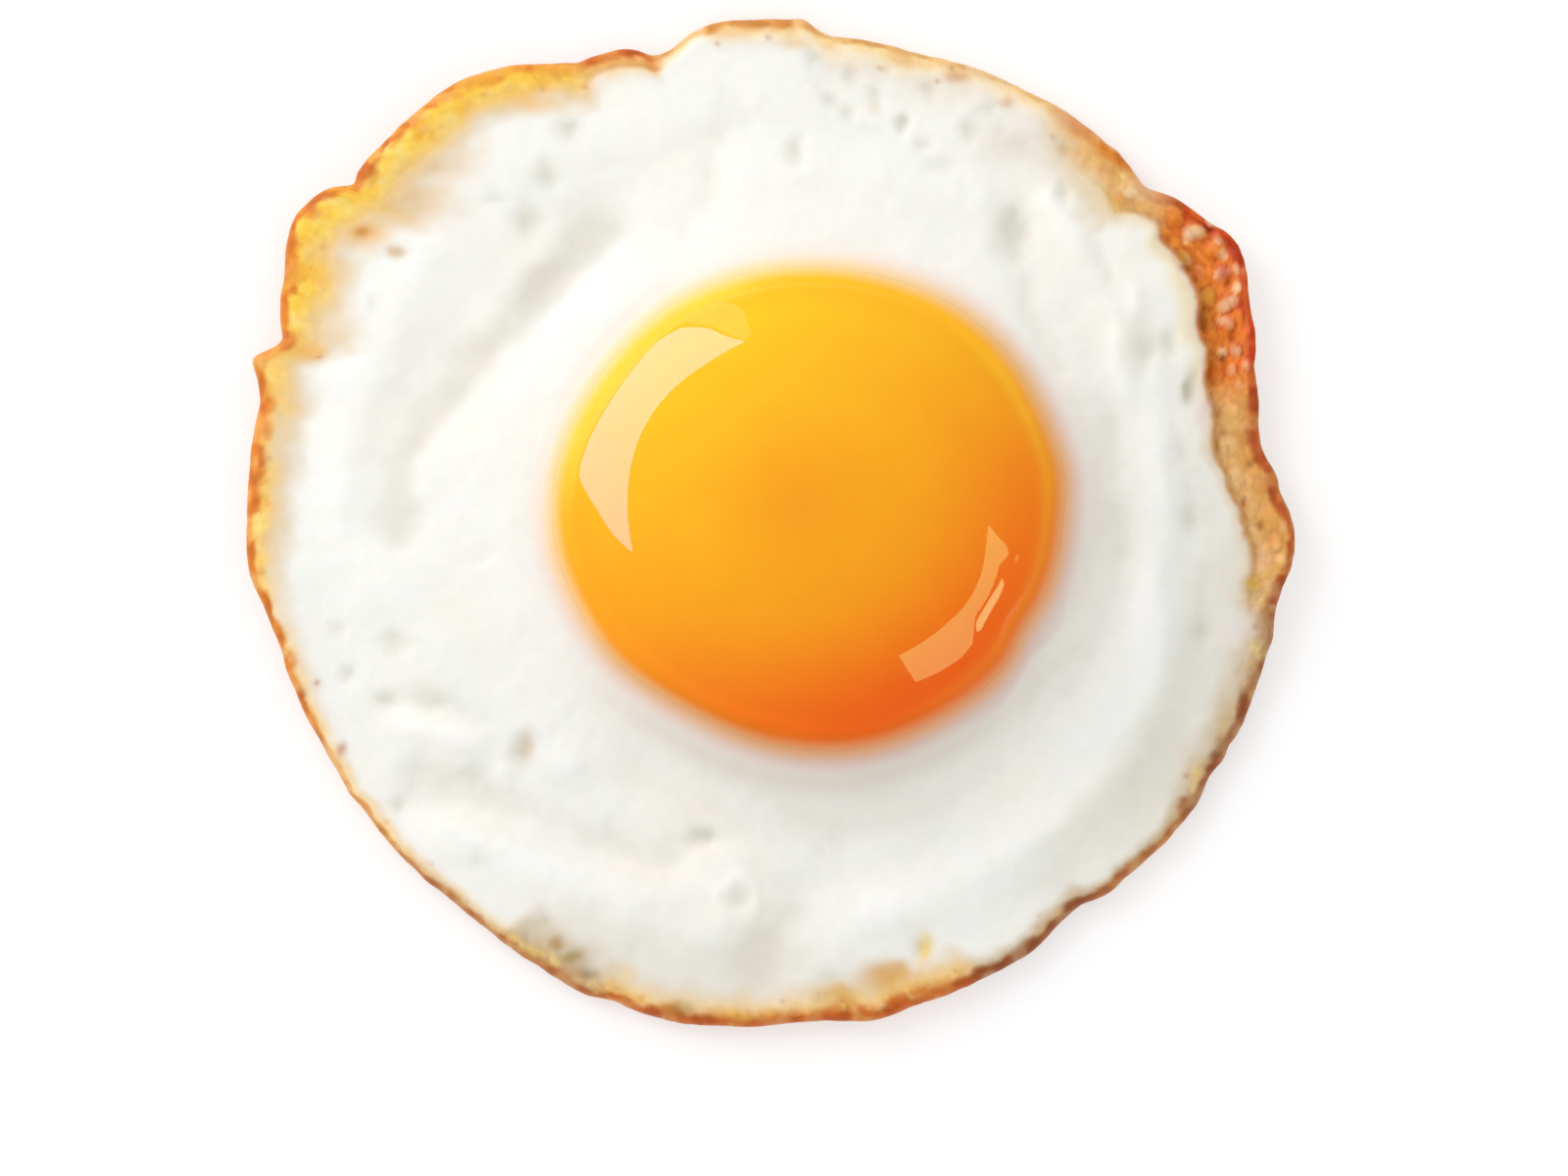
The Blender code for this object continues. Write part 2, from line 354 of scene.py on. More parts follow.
# centre and half width in degrees; width of the browning in mm; how crisp a
# step parts it from the white, 0 to 1; how bubbly it is, 0 to 1; width of the
# dark line at the very edge in mm; tones: edge, middle, inner fade
STRETCHES = (
    (3.0, 7.5, 5.1, 1.0, 1.0, 1.35, "chestnut", "tan", "sand"),
    (12.5, 4.5, 4.8, 1.0, 1.0, 1.35, "chestnut", "tan", "sand"),
    (19.5, 4.0, 5.4, 1.0, 1.0, 1.1, "russet", "rusk", "ochre"),
    (28.0, 5.0, 5.9, 1.0, 1.0, 1.2, "russet", "rusk", "ochre"),
    (35.0, 2.6, 4.7, 1.0, 1.0, 1.2, "russet", "rusk", "ochre"),
    (39.6, 2.4, 3.1, 0.7, 0.8, 1.1, "copper", "toffee", "sand"),
    (48.6, 7.4, 3.9, 0.1, 0.45, 1.1, "amber", "honey", "oatmeal"),
    (62.0, 8.0, 1.8, 0.0, 0.1, 0.6, "honey", "butter", "cream"),
    (77.0, 8.5, 2.2, 0.0, 0.1, 0.6, "honey", "butter", "cream"),
    (91.0, 6.5, 1.9, 0.0, 0.2, 0.9, "toffee", "butter", "cream"),
    (101.0, 3.0, 1.0, 0.0, 0.0, 0.5, "honey", "butter", "cream"),
    (108.7, 4.6, 2.0, 0.4, 0.3, 0.9, "copper", "toffee", "straw"),
    (121.0, 7.5, 3.7, 0.1, 0.35, 1.45, "amber", "gold", "straw"),
    (133.0, 6.0, 4.5, 0.1, 0.35, 1.45, "amber", "gold", "straw"),
    (143.0, 5.0, 5.0, 0.1, 0.35, 1.4, "amber", "gold", "straw"),
    (153.0, 6.0, 4.9, 0.1, 0.35, 1.5, "amber", "gold", "straw"),
    (163.0, 4.0, 3.6, 0.0, 0.3, 1.4, "amber", "corn", "straw"),
    (177.0, 10.0, 2.9, 0.0, 0.2, 1.2, "amber", "corn", "oatmeal"),
    (195.0, 9.0, 1.8, 0.0, 0.2, 1.1, "amber", "straw", "ivory"),
    (213.0, 10.0, 1.3, 0.0, 0.2, 0.5, "toffee", "butter", "ivory"),
    (229.0, 7.0, 1.3, 0.0, 0.2, 0.7, "hazel", "sand", "ivory"),
    (244.0, 6.0, 2.8, 0.0, 0.6, 0.9, "hazel", "oat", "stone"),
    (261.0, 11.0, 2.4, 0.0, 0.5, 1.1, "copper", "honey", "oatmeal"),
    (284.5, 8.5, 2.7, 0.0, 0.6, 1.3, "copper", "toffee", "straw"),
    (303.0, 8.0, 1.7, 0.0, 0.3, 1.2, "umber", "oat", "stone"),
    (318.0, 7.0, 1.4, 0.0, 0.3, 0.9, "hazel", "oat", "stone"),
    (333.0, 8.0, 2.3, 0.0, 0.4, 1.1, "umber", "oat", "stone"),
    (347.0, 5.5, 2.6, 0.1, 0.4, 1.0, "umber", "oat", "stone"),
    (353.5, 3.5, 3.7, 0.75, 0.8, 1.1, "chestnut", "tan", "sand"),
)


def stretch_values(th):
    """Each stretch's numbers, blended round the rim."""
    weights = np.stack(
        [np.exp(-((np.abs(wrap(th - s[0])) / (s[1] * 1.05)) ** 6)) for s in STRETCHES]
    )
    weights += 1e-5 / (1.0 + np.stack([np.abs(wrap(th - s[0])) for s in STRETCHES]))
    weights /= weights.sum(0)

    def blend(values):
        values = np.asarray(values, float)
        return np.tensordot(weights, values, axes=(0, 0))

    return {
        "width": blend([s[2] for s in STRETCHES]),
        "step": blend([s[3] for s in STRETCHES]),
        "bubbly": blend([s[4] for s in STRETCHES]),
        "line": blend([s[5] for s in STRETCHES]),
        "edge": blend([lin(*TONES[s[6]]) for s in STRETCHES]),
        "middle": blend([lin(*TONES[s[7]]) for s in STRETCHES]),
        "inner": blend([lin(*TONES[s[8]]) for s in STRETCHES]),
    }


# ----------------------------------------------------------------------
# the relief of the white
# ----------------------------------------------------------------------
# folds and hollows: height in mm (down if negative), half width in mm on the
# left and on the right of the line as it runs, and the line's points
FOLDS = (
    # the trough outside the thick white on the left, and the swells beside it
    (-0.72, 1.7, 3.1, ((-14.2, 25.6), (-18.0, 21.8), (-23.1, 16.4), (-26.8, 12.7), (-29.9, 9.0), (-31.9, 5.1), (-32.6, -1.0))),
    (0.16, 4.5, 1.6, ((-12.0, 21.4), (-18.0, 16.0), (-23.4, 9.8), (-27.2, 4.0), (-28.5, -3.3))),
    (0.28, 2.6, 2.6, ((-29.2, 24.7), (-35.3, 16.8), (-38.4, 9.0), (-37.8, 0.5), (-35.0, -5.5))),
    (-0.30, 2.2, 2.2, ((-19.7, 20.3), (-18.4, 23.6), (-17.1, 26.8))),
    # the long swell down the right, with a hollow on either side
    (0.40, 1.4, 2.4, ((31.9, 20.0), (33.4, 13.4), (34.1, 4.7), (34.2, -3.0), (33.8, -9.0))),
    (0.34, 1.8, 4.6, ((33.8, -9.0), (32.2, -15.6), (28.4, -21.8), (23.4, -27.1), (17.3, -31.0), (11.0, -33.6))),
    (-0.34, 3.2, 1.8, ((37.2, 2.9), (37.4, -5.8), (36.4, -13.6), (33.8, -20.9), (29.5, -27.1), (23.8, -32.0))),
    (-0.42, 1.6, 2.4, ((29.0, 22.9), (29.8, 15.1), (30.0, 6.4), (30.3, -2.3), (29.5, -9.6), (27.0, -15.0))),
    (0.46, 1.0, 1.8, ((24.9, 28.6), (27.1, 24.7), (29.0, 20.3), (30.4, 16.0), (31.0, 11.6))),
    (-0.35, 2.0, 2.0, ((22.3, 22.9), (23.0, 18.6), (25.0, 14.0))),
    (-0.35, 1.4, 1.4, ((33.0, 17.3), (32.7, 12.9))),
    # folds along the bottom
    (-0.40, 3.2, 3.2, ((-12.0, -22.6), (-4.0, -26.2), (5.6, -27.1), (14.3, -25.8), (19.5, -22.3))),
    (-0.50, 1.8, 2.4, ((-31.0, -22.6), (-23.1, -24.1), (-16.2, -27.5), (-9.2, -29.7))),
    (0.42, 2.0, 2.6, ((-29.2, -27.5), (-19.7, -30.1), (-11.0, -31.9), (-3.0, -31.0))),
    (0.35, 1.5, 1.5, ((-31.8, -18.0), (-26.6, -19.7))),
    (-0.30, 1.3, 1.3, ((-34.0, -15.5), (-30.1, -15.5), (-25.8, -17.3))),
    (0.26, 0.55, 0.55, ((25.8, -8.2), (24.0, -10.6), (22.1, -12.9), (20.2, -16.2), (18.6, -17.5))),
    (-0.25, 1.0, 1.0, ((26.6, -11.0), (24.6, -13.6), (22.4, -16.6))),
    (-0.42, 2.8, 3.4, ((-0.6, -39.4), (0.6, -36.7), (1.6, -34.8))),
    (0.26, 1.8, 2.6, ((6.4, -38.4), (7.6, -35.8), (10.4, -34.0))),
    (-0.25, 2.2, 2.2, ((-9.5, -36.2), (-4.0, -38.0), (0.3, -36.7))),
    # the broad shallow hollow across the top
    (-0.25, 2.2, 2.2, ((-3.6, 38.1), (-4.4, 34.2), (-5.7, 29.9), (-7.5, 26.8))),
    (-0.30, 3.5, 3.0, ((20.0, 36.0), (14.0, 38.0), (6.0, 39.5))),
)
# dips and blisters: x, y, half width across and half height up in mm, depth in
# mm (down if negative), and how much of a raised ring it has
DIPS = (
    (-17.7, 34.8, 1.25, 1.15, -0.55, 0.35),
    (-19.7, 30.6, 1.15, 1.25, -0.50, 0.30),
    (-21.3, 26.6, 1.35, 1.55, -0.55, 0.40),
    (-24.4, 28.6, 1.20, 0.60, -0.30, 0.20),
    (-14.3, 31.6, 0.80, 0.80, -0.20, 0.10),
    (2.3, 32.8, 0.90, 1.35, -0.50, 0.30),
    (5.4, 37.3, 0.75, 0.75, -0.30, 0.20),
    (6.9, 36.3, 0.80, 0.90, -0.38, 0.25),
    (9.2, 37.9, 0.70, 0.70, -0.28, 0.15),
    (11.8, 35.4, 0.70, 0.75, -0.60, 0.30),
    (13.6, 33.5, 0.75, 0.75, -0.30, 0.20),
    (17.7, 34.7, 0.95, 1.10, -0.42, 0.40),
    (15.1, 31.6, 1.30, 0.90, -0.28, 0.10),
    (21.6, 26.2, 1.80, 2.30, -0.95, 0.10),
    (22.4, 33.2, 1.70, 1.20, -0.30, 0.10),
    (26.0, 29.0, 0.80, 0.80, -0.35, 0.50),
    (33.0, 15.3, 1.20, 2.00, -0.50, 0.15),
    (35.3, 15.8, 0.80, 1.10, -0.45, 0.20),
    (37.4, 12.0, 0.60, 1.50, -0.40, 0.10),
    (37.1, 0.4, 1.00, 1.30, -0.35, 0.35),
    (38.1, -9.7, 0.85, 1.30, -0.50, 0.20),
    (36.4, 6.4, 0.80, 1.20, -0.25, 0.15),
    (-33.1, -10.6, 1.30, 0.95, -0.42, 0.15),
    (-34.0, -15.6, 0.95, 0.85, -0.30, 0.15),
    (-29.6, -15.9, 1.70, 1.10, -0.30, 0.05),
    (-21.7, -20.2, 1.15, 1.50, -0.60, 0.40),
    (-17.7, -21.4, 1.90, 1.50, 0.50, 0.00),
    (-28.2, -18.6, 2.40, 1.60, 0.35, 0.00),
    (-23.6, -22.0, 1.20, 1.00, 0.25, 0.00),
    (-26.6, -22.3, 1.40, 0.70, -0.20, 0.00),
    (-5.9, -27.8, 1.30, 0.85, -0.55, 0.15),
    (-4.0, -29.4, 1.90, 0.90, 0.30, 0.00),
    (-2.8, -33.3, 0.95, 0.95, -0.45, 0.70),
    (-25.6, -30.0, 1.00, 0.85, -0.28, 0.20),
    (-24.9, -3.2, 1.50, 0.90, -0.18, 0.05),
    (4.0, 41.0, 0.80, 0.70, -0.35, 0.20),
    (7.3, 39.8, 0.80, 0.70, -0.35, 0.20),
    (10.4, 40.4, 0.70, 0.60, -0.35, 0.20),
    (14.3, 38.2, 0.80, 0.80, -0.40, 0.20),
    (19.2, 36.5, 0.80, 0.70, -0.30, 0.20),
    (-38.4, -9.6, 0.90, 0.80, -0.30, 0.15),
    (-37.3, -13.4, 0.80, 0.90, -0.35, 0.15),
    (-32.9, -24.9, 0.70, 0.70, -0.30, 0.15),
    (-19.9, -35.6, 0.80, 0.70, -0.30, 0.15),
    (-29.6, 31.2, 0.90, 0.60, -0.22, 0.10),
    (-35.1, 19.3, 0.70, 0.90, -0.22, 0.10),
    (13.2, -37.6, 0.90, 1.10, -0.40, 0.20),
    (5.6, -40.2, 0.90, 0.70, -0.30, 0.15),
)
# spots of colour: x, y, half width, half height, colour, strength
SPOTS = (
    (-35.6, 25.6, 1.9, 1.2, (238, 190, 112), 0.70),
    (-36.2, 25.8, 0.9, 0.6, (212, 140, 52), 0.85),
    (-33.0, 24.2, 0.9, 0.7, (206, 170, 118), 0.75),
    (-31.0, 28.2, 3.2, 1.9, (224, 196, 156), 0.75),
    (-28.2, 31.6, 2.6, 1.4, (228, 204, 172), 0.55),
    (-40.0, 17.0, 1.4, 2.2, (226, 210, 176), 0.55),
    (-40.8, 15.4, 1.6, 1.0, (240, 184, 96), 0.70),
    (-20.9, 37.4, 2.4, 1.0, (240, 190, 104), 0.60),
    (-21.7, -20.0, 0.8, 1.2, (224, 198, 176), 0.70),
    (-37.9, -20.3, 0.55, 0.6, (196, 132, 92), 0.70),
    (-41.6, -15.2, 0.5, 0.6, (178, 88, 48), 0.75),
    (13.7, -37.6, 0.7, 1.5, (238, 206, 120), 0.85),
    (10.3, -40.2, 2.5, 1.2, (216, 162, 68), 0.80),
    (6.0, -41.6, 1.8, 0.9, (210, 164, 84), 0.60),
    (40.2, -17.6, 0.8, 2.2, (200, 168, 116), 0.45),
    (39.8, -20.6, 0.5, 0.8, (134, 70, 40), 0.65),
    (-17.5, -38.6, 1.2, 0.7, (166, 138, 66), 0.75),
    (-19.2, -37.2, 0.8, 0.6, (176, 132, 64), 0.70),
    (-16.0, -40.0, 0.8, 0.6, (140, 104, 52), 0.60),
    (-8.0, -43.2, 1.6, 0.7, (150, 110, 56), 0.50),
    (-2.6, -43.8, 1.8, 0.6, (230, 180, 84), 0.60),
    (27.5, 35.4, 2.2, 1.2, (218, 150, 92), 0.60),
    (33.2, 29.6, 2.0, 1.4, (234, 206, 158), 0.60),
    (30.0, 31.5, 0.8, 0.6, (196, 142, 84), 0.50),
    (22.3, 33.6, 4.2, 3.0, (226, 217, 202), 0.60),
    (16.5, 38.4, 4.0, 1.8, (236, 228, 208), 0.50),
    (26.0, 33.3, 0.7, 0.6, (206, 160, 106), 0.50),
    (12.0, 41.2, 1.2, 0.6, (224, 182, 126), 0.55),
    (16.5, 39.8, 1.0, 0.6, (206, 140, 84), 0.60),
    (21.0, 37.4, 0.9, 0.5, (210, 152, 96), 0.55),
    (9.3, 36.9, 0.8, 0.6, (228, 212, 186), 0.50),
    (2.2, 42.4, 1.4, 0.6, (232, 190, 120), 0.50),
    (-3.5, 43.6, 1.8, 0.6, (232, 184, 104), 0.55),
    (36.9, 11.6, 0.6, 1.2, (190, 182, 148), 0.75),
    (38.4, 9.6, 0.7, 1.6, (236, 214, 212), 0.60),
    (42.9, -5.4, 0.9, 0.8, (206, 160, 62), 0.70),
    (41.6, -9.4, 1.3, 1.1, (236, 220, 222), 0.45),
    (43.6, -3.4, 0.9, 0.7, (224, 176, 140), 0.60),
)
# blisters of the right-hand crust: x, y, half width, half height, colour, rise in mm
BLISTERS = (
    (35.6, 27.2, 1.00, 0.95, (222, 132, 48), 0.45),
    (37.6, 25.8, 1.10, 0.75, (232, 204, 160), 0.55),
    (39.2, 26.6, 0.70, 0.50, (238, 196, 164), 0.40),
    (36.6, 23.6, 0.80, 0.70, (204, 150, 70), 0.40),
    (39.3, 24.2, 0.95, 0.75, (236, 138, 48), 0.55),
    (38.0, 22.3, 0.60, 0.70, (228, 142, 84), 0.35),
    (40.3, 22.2, 0.75, 0.50, (206, 120, 96), 0.35),
    (38.9, 20.0, 0.65, 0.95, (222, 162, 60), 0.50),
    (40.5, 19.4, 0.60, 0.70, (230, 180, 134), 0.45),
    (40.6, 17.7, 0.65, 0.70, (226, 158, 120), 0.45),
    (39.0, 17.4, 0.60, 0.60, (214, 130, 52), 0.30),
    (41.3, 15.2, 0.60, 0.55, (222, 176, 142), 0.45),
    (40.9, 13.6, 0.50, 0.60, (224, 170, 124), 0.35),
    (41.5, 12.1, 0.55, 0.45, (240, 178, 134), 0.40),
    (39.6, 13.4, 0.60, 0.95, (216, 112, 40), 0.35),
    (40.9, 9.2, 1.10, 1.30, (224, 186, 118), 0.50),
    (39.9, 9.6, 0.60, 0.90, (206, 140, 62), 0.30),
    (40.6, 6.9, 1.00, 0.90, (236, 202, 152), 0.45),
    (41.2, 3.9, 0.85, 1.05, (228, 196, 154), 0.40),
    (43.7, 3.3, 0.65, 0.70, (190, 82, 60), 0.35),
    (42.6, 1.2, 0.75, 0.80, (204, 150, 68), 0.35),
    (44.1, 0.5, 0.85, 1.20, (232, 172, 88), 0.50),
    (42.9, -1.2, 0.90, 0.85, (218, 176, 108), 0.40),
    (44.8, -1.7, 0.60, 0.90, (226, 132, 72), 0.35),
    (43.2, -3.9, 0.70, 0.60, (232, 182, 142), 0.35),
    (42.7, -5.5, 0.85, 0.70, (208, 164, 50), 0.40),
    (44.6, -5.8, 0.75, 1.10, (214, 168, 118), 0.35),
    (33.4, 31.2, 1.00, 0.80, (228, 184, 128), 0.30),
    (30.6, 33.6, 1.10, 0.75, (232, 178, 106), 0.30),
    (31.9, 29.2, 0.80, 0.60, (238, 208, 160), 0.25),
)
HOLES = (
    (38.9, 26.0, 0.35, 0.25),
    (36.6, 22.6, 0.45, 0.35),
    (40.6, 21.2, 0.35, 0.30),
    (38.1, 18.3, 0.35, 0.60),
    (41.0, 16.4, 0.30, 0.30),
    (40.2, 14.6, 0.30, 0.45),
    (42.6, 5.1, 0.40, 0.35),
    (42.0, 1.9, 0.30, 0.60),
    (43.6, -0.2, 0.30, 0.50),
    (44.6, -8.2, 0.45, 0.50),
)


def along(x, y, points):
    """Distance to a line through points, and which side: 1 is its left, 0 its right."""
    best = np.full(x.shape, 1e9)
    side = np.full(x.shape, 0.5)
    for (ax, ay), (bx, by) in zip(points, points[1:]):
        dx, dy = bx - ax, by - ay
        t = np.clip(((x - ax) * dx + (y - ay) * dy) / (dx * dx + dy * dy), 0, 1)
        away = np.hypot(x - ax - t * dx, y - ay - t * dy)
        across = (dx * (y - ay) - dy * (x - ax)) / math.hypot(dx, dy)
        left = 0.5 + 0.5 * np.clip(across / np.maximum(away, 1e-3), -1.0, 1.0)
        side = np.where(away < best, left, side)
        best = np.minimum(best, away)
    return best, side


def relief(x, y, calm):
    """Folds, dips and fine unevenness of the white, in mm."""
    wx = x + 0.9 * fbm(x / 5.0, y / 5.0, 11, 2)
    wy = y + 0.9 * fbm(x / 5.0, y / 5.0, 21, 2)
    z = np.zeros_like(x)
    for height, left, right, points in FOLDS:
        away, side = along(wx, wy, points)
        z += height * np.exp(-((away / mix(right, left, side)) ** 2))
    sx = x + 0.42 * fbm(x / 1.5, y / 1.5, 31, 2)
    sy = y + 0.42 * fbm(x / 1.5, y / 1.5, 41, 2)
    for px, py, a, b, depth, ring in DIPS:
        r = np.hypot((sx - px) / a, (sy - py) / b)
        z += 0.85 * depth * np.exp(-(r**2.0))
        if ring:
            z += (0.15 + 0.45 * (ring > 0.45)) * abs(depth) * ring * np.exp(-(((r - 1.7) / 0.6) ** 2))
    z += 0.16 * fbm(x / 7.0, y / 7.0, 51, 2)
    z += 0.10 * fbm(x / 2.6, y / 2.6, 61, 3)
    z += 0.035 * fbm(x / 0.9, y / 0.9, 71, 2)
    return z * calm


# ----------------------------------------------------------------------
# the white
# ----------------------------------------------------------------------
AROUND = 840
th = np.arange(AROUND) * 360.0 / AROUND
rad = np.radians(th)
band = stretch_values(th)

inner_r = yolk_radius(th)
inner_x = YC[0] + inner_r * np.cos(rad)
inner_y = YC[1] + inner_r * np.sin(rad)
jag = 0.09 + 0.13 * band["bubbly"]
rim_r = rim_radius(th) + lobes(th, FINE_RIM)
rim_r = rim_r + jag * fbm(40 * np.cos(rad) / 1.9, 40 * np.sin(rad) / 1.9, 81, 3)
rim_x = rim_r * np.cos(rad) - MIDDLE[0]
rim_y = rim_r * np.sin(rad) - MIDDLE[1]
width = np.hypot(rim_x - inner_x, rim_y - inner_y)
lift_here = LIFT_BASE + lobes(th, RIM_LIFTS)

# shares of the way from the yolk to the rim: fine at both ends
shares = np.concatenate(
    [
        [0.0, 0.004],
        np.linspace(0.01, 0.10, 10)[:-1],
        np.linspace(0.10, 0.70, 38)[:-1],
        np.linspace(0.70, 0.97, 32)[:-1],
        np.linspace(0.97, 1.0, 9)[:-1] ** 1.0,
    ]
)
G = shares[:, None]
T = np.broadcast_to(th, (len(shares), AROUND))
X = inner_x + G * (rim_x - inner_x)
Y = inner_y + G * (rim_y - inner_y)
X[0] -= 0.45 * np.cos(rad)
Y[0] -= 0.45 * np.sin(rad)
OUT = G * width
TO_RIM = (1.0 - G) * width
LIFT = lift_here * smooth(G, LIFT_FROM, 1.0) ** 1.5

reach = SHOULDER + lobes(th, SHOULDER_LOBES) + 0.9 * fbm(X / 9.0, Y / 9.0, 91, 2)
soft = 5.6
mound = MOUND_Z - 0.3 + (LIP_Z - MOUND_Z + 0.3) * (1.0 - smooth(OUT, 0.0, reach)) ** 1.4
thin = THIN_Z + 0.4 + (EDGE_Z - THIN_Z - 0.1) * smooth(G, 0.60, 0.95)
body = mix(mound, thin, smooth(OUT, reach - soft / 2, reach + soft / 2))
calm = smooth(OUT, 0.4, 3.0)
HEIGHTS = relief(X, Y, calm)
body = body + HEIGHTS

# the crust outside the white's rounded edge
W, STEP, BUBBLY = band["width"], band["step"], band["bubbly"]
warp = fbm(X / 1.7, Y / 1.7, 101, 3)
rim_d = TO_RIM + warp * (0.10 + mix(0.13, 0.045, STEP) * W)
f1, f2, own = cells(X / 1.35 + 0.25 * warp, Y / 1.35, 111)
g1, g2, own2 = cells(X / 0.72, Y / 0.72 + 0.2 * warp, 121)
dome = np.clip(1.0 - (f1 / 0.55) ** 2, 0.0, 1.0)
pip = np.clip(1.0 - (g1 / 0.5) ** 2, 0.0, 1.0)
crust = 1.05 + 0.26 * dome * (own > 0.35) - 0.10 * (f2 - f1 < 0.12) + 0.10 * pip * (own2 > 0.5)
crust = crust + 0.12 * fbm(X / 0.8, Y / 0.8, 131, 2)
blister = np.zeros_like(X)
for px, py, a, b, colour, rise in BLISTERS:
    r = np.hypot((X - px) / a, (Y - py) / b)
    blister = np.maximum(blister, rise * np.clip(1.0 - r**2, 0.0, 1.0) ** 0.7)
    crust = crust - 0.15 * np.exp(-(((r - 1.15) / 0.2) ** 2))
tan_here = np.exp(-((wrap(T - 4.0) / 14.0) ** 6))
crust = 1.05 + (crust + blister - 1.05) * (1.0 - 0.5 * tan_here) + 0.65 * tan_here
for px, py, a, b in HOLES:
    r = np.hypot((X - px) / a, (Y - py) / b)
    crust = crust - 0.55 * np.exp(-(r**2))
past = smooth(rim_d, 0.80 * W, 0.80 * W + 1.1)
rounded = np.sqrt(np.clip(1.0 - (1.0 - past) ** 2, 0.0, 1.0))
stepped = mix(crust, body, rounded)
plain = body
top = mix(plain, stepped, STEP)
# lacy unevenness where the rim is browned but has no step
browned = 1.0 - smooth(rim_d / W, 0.6, 1.2)
top = top + (1.0 - STEP) * BUBBLY * browned * (0.22 * dome * (own > 0.4) + 0.12 * pip - 0.10)
# the edge itself is round
round_w = mix(1.5, 0.8, STEP)
k = np.clip(TO_RIM / round_w, 0.0, 1.0)
edge_z = RIM_Z + 0.06 * fbm(X / 1.1, Y / 1.1, 141, 2)
top = edge_z + (top - edge_z) * np.sqrt(np.clip(1.0 - (1.0 - k) ** 2, 0.0, 1.0))
# the thin film that climbs the yolk's side
top = top + 1.25 * np.exp(-OUT / 0.50)
top[0] = YOLK_EQUATOR_Z + 1.50
TOP = top + LIFT

# ---- colours of the white ----
TO_LIGHT = np.cos(np.radians(T - 124.0))
colour = np.broadcast_to(WHITE, X.shape + (3,)).copy()


def lay(colour, over, amount):
    return colour + (over - colour) * amount[..., None]


# faint warmth and coolness in the thin white
warm = smooth(fbm(X / 8.0, Y / 8.0, 151, 2), -0.1, 0.8)
colour = lay(colour, lin(250, 244, 230), 0.45 * warm * smooth(OUT, 3.0, 9.0))
cool = smooth(fbm(X / 6.0, Y / 6.0, 161, 2), 0.0, 0.8)
colour = lay(colour, lin(240, 243, 238), 0.40 * cool)
# the thin white at the lower right is greyer
thin_zone = np.exp(-((wrap(T - 338.0) / 29.0) ** 4)) * (1.0 - smooth(TO_RIM, 6.5, 9.5))
colour = lay(colour, lin(222, 219, 205), 0.62 * thin_zone)
thin_low = np.exp(-((wrap(T - 257.0) / 20.0) ** 4)) * (1.0 - smooth(TO_RIM, 5.0, 9.0))
colour = lay(colour, lin(224, 220, 206), 0.60 * thin_low)
# hollows are painted greyer, partly for the thinner white there and partly as painted shade, and swells are painted
# whiter as painted light
colour = lay(colour, lin(214, 211, 196), 0.75 * smooth(-HEIGHTS, 0.05, 1.0))
colour = lay(colour, lin(252, 252, 248), 0.70 * smooth(HEIGHTS, 0.05, 0.6))
# the middles of the deeper dips are painted greyer too: painted shade, partly also thinner white
for px, py, a, b, depth, ring in DIPS:
    if depth < -0.2:
        r = np.hypot((X - px) / a, (Y - py) / b)
        colour = lay(colour, lin(218, 217, 202), min(0.60, -depth) * np.exp(-(r**2)))
# the browned rim
nd = rim_d / W
speck = fbm(X / 0.75, Y / 0.75, 171, 2)
blotch = fbm(X / 2.2, Y / 2.2, 181, 2)
fade = (1.0 - smooth(nd + 0.22 * blotch, 0.72, 1.32)) * mix(1.0, 1.0 - smooth(nd, 0.80, 0.98), STEP)
mid = 1.0 - smooth(nd + 0.25 * blotch, 0.34, 0.92)
mid = mix(mid, 1.0 - smooth(nd, 0.76, 0.94), STEP)
inner_c = np.broadcast_to(band["inner"], X.shape + (3,))
middle_c = np.broadcast_to(band["middle"], X.shape + (3,))
edge_c = np.broadcast_to(band["edge"], X.shape + (3,))
# a thin translucent border of beige, then the browning itself
veil = (1.0 - smooth(nd + 0.25 * blotch, 1.0, 1.8)) * smooth(W, 1.0, 2.8) * (1.0 - STEP)
colour = lay(colour, mix(inner_c, lin(226, 214, 198), 0.62), 0.90 * veil)
colour = lay(colour, inner_c, fade)
colour = lay(colour, middle_c, mid)
# cream and orange streaks run through it, across the rim
round_mm = np.radians(T) * 44.0
streak = 0.6 * fbm(round_mm / 1.1, rim_d / 3.2 + 1.5 * warp, 221, 3) + 0.7 * fbm(X / 1.5, Y / 1.5, 231, 3)
streaky = mid * (1.0 - STEP) * smooth(W, 1.2, 2.6)
colour = lay(colour, lin(255, 234, 150), 0.62 * streaky * smooth(streak, 0.10, 0.50))
lane = fbm(round_mm / 4.5, rim_d / 0.9, 241, 3)
colour = lay(colour, lin(255, 226, 120), 0.50 * streaky * smooth(lane, 0.08, 0.5))
colour = lay(colour, mix(middle_c, edge_c, 0.50), 0.70 * streaky * smooth(-streak, 0.08, 0.45))
# cells of the crust: pale, golden and dark
colour = lay(colour, inner_c, 0.75 * mid * STEP * smooth(nd, 0.30, 0.80))
crusty = BUBBLY * mid
pale = (own > 0.70) * dome
calm_tan = 1.0 - 0.66 * tan_here
crusty = crusty * calm_tan
colour = lay(colour, lin(238, 206, 162), 0.75 * pale * crusty * smooth(dome, 0.2, 0.8))
gold = ((own > 0.35) & (own <= 0.70)) * dome
colour = lay(colour, middle_c * np.array([1.12, 1.18, 0.95]), 0.7 * gold * crusty)
wall = 1.0 - smooth(f2 - f1, 0.05, 0.28)
crisp = crusty * smooth(BUBBLY, 0.4, 0.9)
colour = lay(colour, edge_c, 0.32 * wall * crisp)
colour = lay(colour, edge_c * 0.85, 0.20 * crisp * smooth(speck, 0.25, 0.75))
colour = colour * (1.0 + 0.22 * STEP * mid)[..., None]
